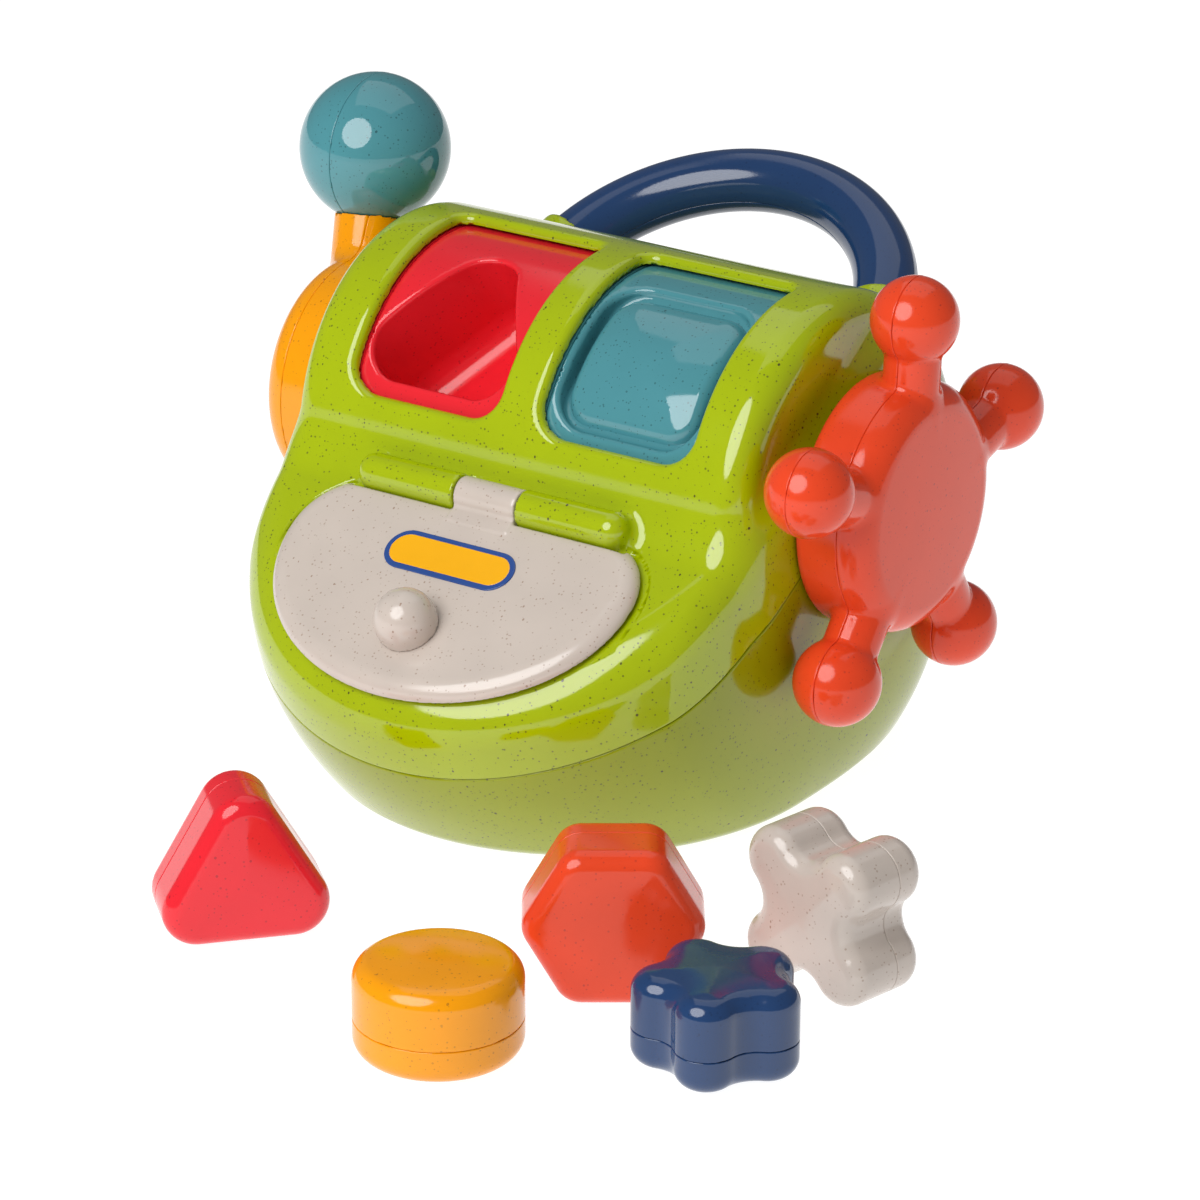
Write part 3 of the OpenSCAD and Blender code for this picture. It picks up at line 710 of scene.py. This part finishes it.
def make_turners():
    """The wheel and the crank with its ball, each as two halves."""
    reach = KNOB_RING + KNOB_R
    round_line = grid_line(-reach, reach, STEP)
    arm_line = (grid_line(-DISC_R, DISC_R, STEP), grid_line(-DISC_R, ARM, STEP))
    ball_y, ball_z = ARM * math.cos(CRANK_TURN), ARM * math.sin(CRANK_TURN)
    ball_line = tuple(grid_line(middle - BALL_R, middle + BALL_R, STEP) for middle in (ball_y, ball_z))
    for side, half in ((1, "outer"), (-1, "inner")):
        mould(
            f"wheel_{half}_look",
            lambda x, y, z: round_max(wheel_gap(x, y, z), 0.03 - side * x, SEAM_R),
            (split_line(side, -DISC_IN, KNOB_R), round_line, round_line),
            moved(WHEEL_X, 0, AXLE_Z), ORANGE, "right_drum", [f"wheel_{half}_half"], "orange_wheel",
        )
        mould(
            f"crank_{half}_look",
            lambda x, y, z: round_max(crank_gap(-x, y, z), 0.03 + side * x, SEAM_R),
            (split_line(-side, -KNOB_R - BALL_OUT, DISC_IN), *arm_line),
            moved(-WHEEL_X, 0, AXLE_Z), YELLOW, "left_drum", [f"crank_{half}_half"], "yellow_crank",
        )
        mould(
            f"ball_{half}_look",
            lambda x, y, z: round_max(ball_gap(-x, y, z), 0.03 + side * (x + BALL_OUT), SEAM_R),
            (split_line(-side, -BALL_OUT - BALL_R, BALL_R - BALL_OUT, -BALL_OUT), *ball_line),
            moved(-WHEEL_X, 0, AXLE_Z), TEAL, "left_drum", [f"crank_ball_{half}_half"], "teal_ball",
        )


def make_door():
    place = moved(0, FACE_Y, FACE_Z) @ turned("X", FACE_TILT)
    fine = STEP * 0.75
    lines = (grid_line(-DOOR_HALF, DOOR_HALF, fine), grid_line(-51, 31, fine), grid_line(-4, 11, fine))
    mould("door_look", door_panel_gap, lines, place, BEIGE, "door", ["door_panel"], "beige_door")
    lines = (grid_line(-10, 10, 0.8), grid_line(-38, -17, 0.8), grid_line(HINGE_OFF, 19, 0.8))
    mould("knob_look", knob_gap, lines, place, BEIGE, "door", ["door_knob"], "beige_door")
    lines = (grid_line(-26, 24, 0.5), grid_line(-8, 8, 0.5), grid_line(4.4, 5.6, 0.2))
    mould("badge_look", badge_gap(0, 0.42), lines, place, BADGE_BLUE, "door", ["door_badge"], "badge")
    mould("badge_face_look", badge_gap(1.7, 0.5), lines, place, BADGE_YELLOW, "door", [], "badge")


STANDING = turned("X", 90)
BLOCKS = {
    "triangle": (RED, "red_block", moved(-11.5, -186.3, 19.5) @ turned("Z", 48.6) @ STANDING),
    "hexagon": (ORANGE, "orange_block", moved(104.7, -156.3, 24.52) @ turned("Z", 35) @ STANDING),
    "cross": (BEIGE, "beige_block", moved(154.8, -114.6, 24.19) @ turned("Z", -12) @ STANDING),
    "star": (NAVY, "navy_block", moved(157, -179, BLOCK_HALF) @ turned("Z", -15.6)),
    "round": (YELLOW, "yellow_block", moved(87.4, -219.8, BLOCK_HALF)),
}


def make_block(kind):
    material, slot, place = BLOCKS[kind]
    halves = ("top", "bottom") if kind in ("star", "round") else ("front", "back")
    form = block_gap(kind)
    line = grid_line(-32, 32, STEP)
    for side, half in zip((1, -1), halves):
        mould(
            f"{kind}_{half}_look",
            lambda x, y, z: round_max(form(x, y, z), 0.03 - side * (z - BLOCK_SPLIT), SEAM_R),
            (line, line, split_line(side, -BLOCK_HALF, BLOCK_HALF, BLOCK_SPLIT)),
            place, material, f"{kind}_block", [f"{kind}_block_{half}"], slot,
        )


def dress_frame():
    """Materials for the CAD nodes that stay as they are."""
    steel = ("axle_rod", "hinge_pin", "shell_screws", "bracket_screws", "left_cap_screws", "right_cap_screws")
    for name in steel:
        frame["nodes"][name].data.materials[0] = STEEL
    for name in ("left_bearing", "right_bearing"):
        frame["nodes"][name].data.materials[0] = BEIGE
    frame["nodes"]["centre_bracket"].data.materials[0] = GREEN


# --- studio
VIEW_TURN = math.radians(34.4)
VIEW_LIFT = math.radians(21.9)
VIEW_ROLL = math.radians(0.3)
AIM = Vector((-11, 5, 44)) * MM
VIEW_REACH = 1.65
RIGHT = Vector((math.cos(VIEW_TURN), math.sin(VIEW_TURN), 0))
TOWARDS = Vector((
    math.sin(VIEW_TURN) * math.cos(VIEW_LIFT), -math.cos(VIEW_TURN) * math.cos(VIEW_LIFT), math.sin(VIEW_LIFT)
))
UP = TOWARDS.cross(RIGHT)


def make_camera():
    data = bpy.data.cameras.new("camera")
    data.lens = 150
    data.sensor_width = 36
    data.clip_end = 20
    camera = bpy.data.objects.new("camera", data)
    right = RIGHT * math.cos(VIEW_ROLL) + UP * math.sin(VIEW_ROLL)
    up = UP * math.cos(VIEW_ROLL) - RIGHT * math.sin(VIEW_ROLL)
    turn = Matrix((right, up, TOWARDS)).transposed().to_4x4()
    camera.matrix_world = Matrix.Translation(AIM + TOWARDS * VIEW_REACH) @ turn
    bpy.context.scene.collection.objects.link(camera)
    bpy.context.scene.camera = camera


def soft_box(name, direction, reach, size, power, shape="SQUARE"):
    """An area light that shines at the toy from a direction given as right, up, towards the camera."""
    data = bpy.data.lights.new(name, "AREA")
    data.shape = shape
    data.size = size
    data.energy = power
    light = bpy.data.objects.new(name, data)
    away = (RIGHT * direction[0] + UP * direction[1] + TOWARDS * direction[2]).normalized()
    light.location = AIM + away * reach
    light.rotation_euler = away.to_track_quat("Z", "Y").to_euler()
    bpy.context.scene.collection.objects.link(light)


def make_studio():
    scene = bpy.context.scene
    scene.view_settings.view_transform = "Standard"
    world = bpy.data.worlds.new("studio")
    world.use_nodes = True
    world.node_tree.nodes["Background"].inputs["Color"].default_value = (1, 1, 1, 1)
    world.node_tree.nodes["Background"].inputs["Strength"].default_value = 0.18
    scene.world = world
    soft_box("key", (-0.457, 0.356, 0.814), 1.4, 1.1, 15.5, "DISK")
    soft_box("top", (0.1, 1, 0.1), 1.5, 1.4, 4)
    mesh = bpy.data.meshes.new("floor")
    far = 6
    corners = [(x, y, -0.0005) for x, y in ((-far, -far), (far, -far), (far, far), (-far, far))]
    mesh.from_pydata(corners, [], [(0, 1, 2, 3)])
    material = bpy.data.materials.new("floor")
    material.use_nodes = True
    shader = material.node_tree.nodes["Principled BSDF"]
    shader.inputs["Base Color"].default_value = (0.25, 0.25, 0.25, 1)
    shader.inputs["Roughness"].default_value = 0.9
    shader.inputs["Emission Color"].default_value = (1, 1, 1, 1)
    shader.inputs["Emission Strength"].default_value = 0.97
    mesh.materials.append(material)
    floor = bpy.data.objects.new("floor", mesh)
    scene.collection.objects.link(floor)


make_camera()
make_studio()
dress_frame()
make_body()
make_drum("left", "left_drum", ["triangle", "round", "hexagon"], RED, "red_drum")
make_drum("right", "right_drum", ["pillow", "star", "cross"], TEAL, "teal_drum")
make_turners()
make_door()
for kind in BLOCKS:
    make_block(kind)
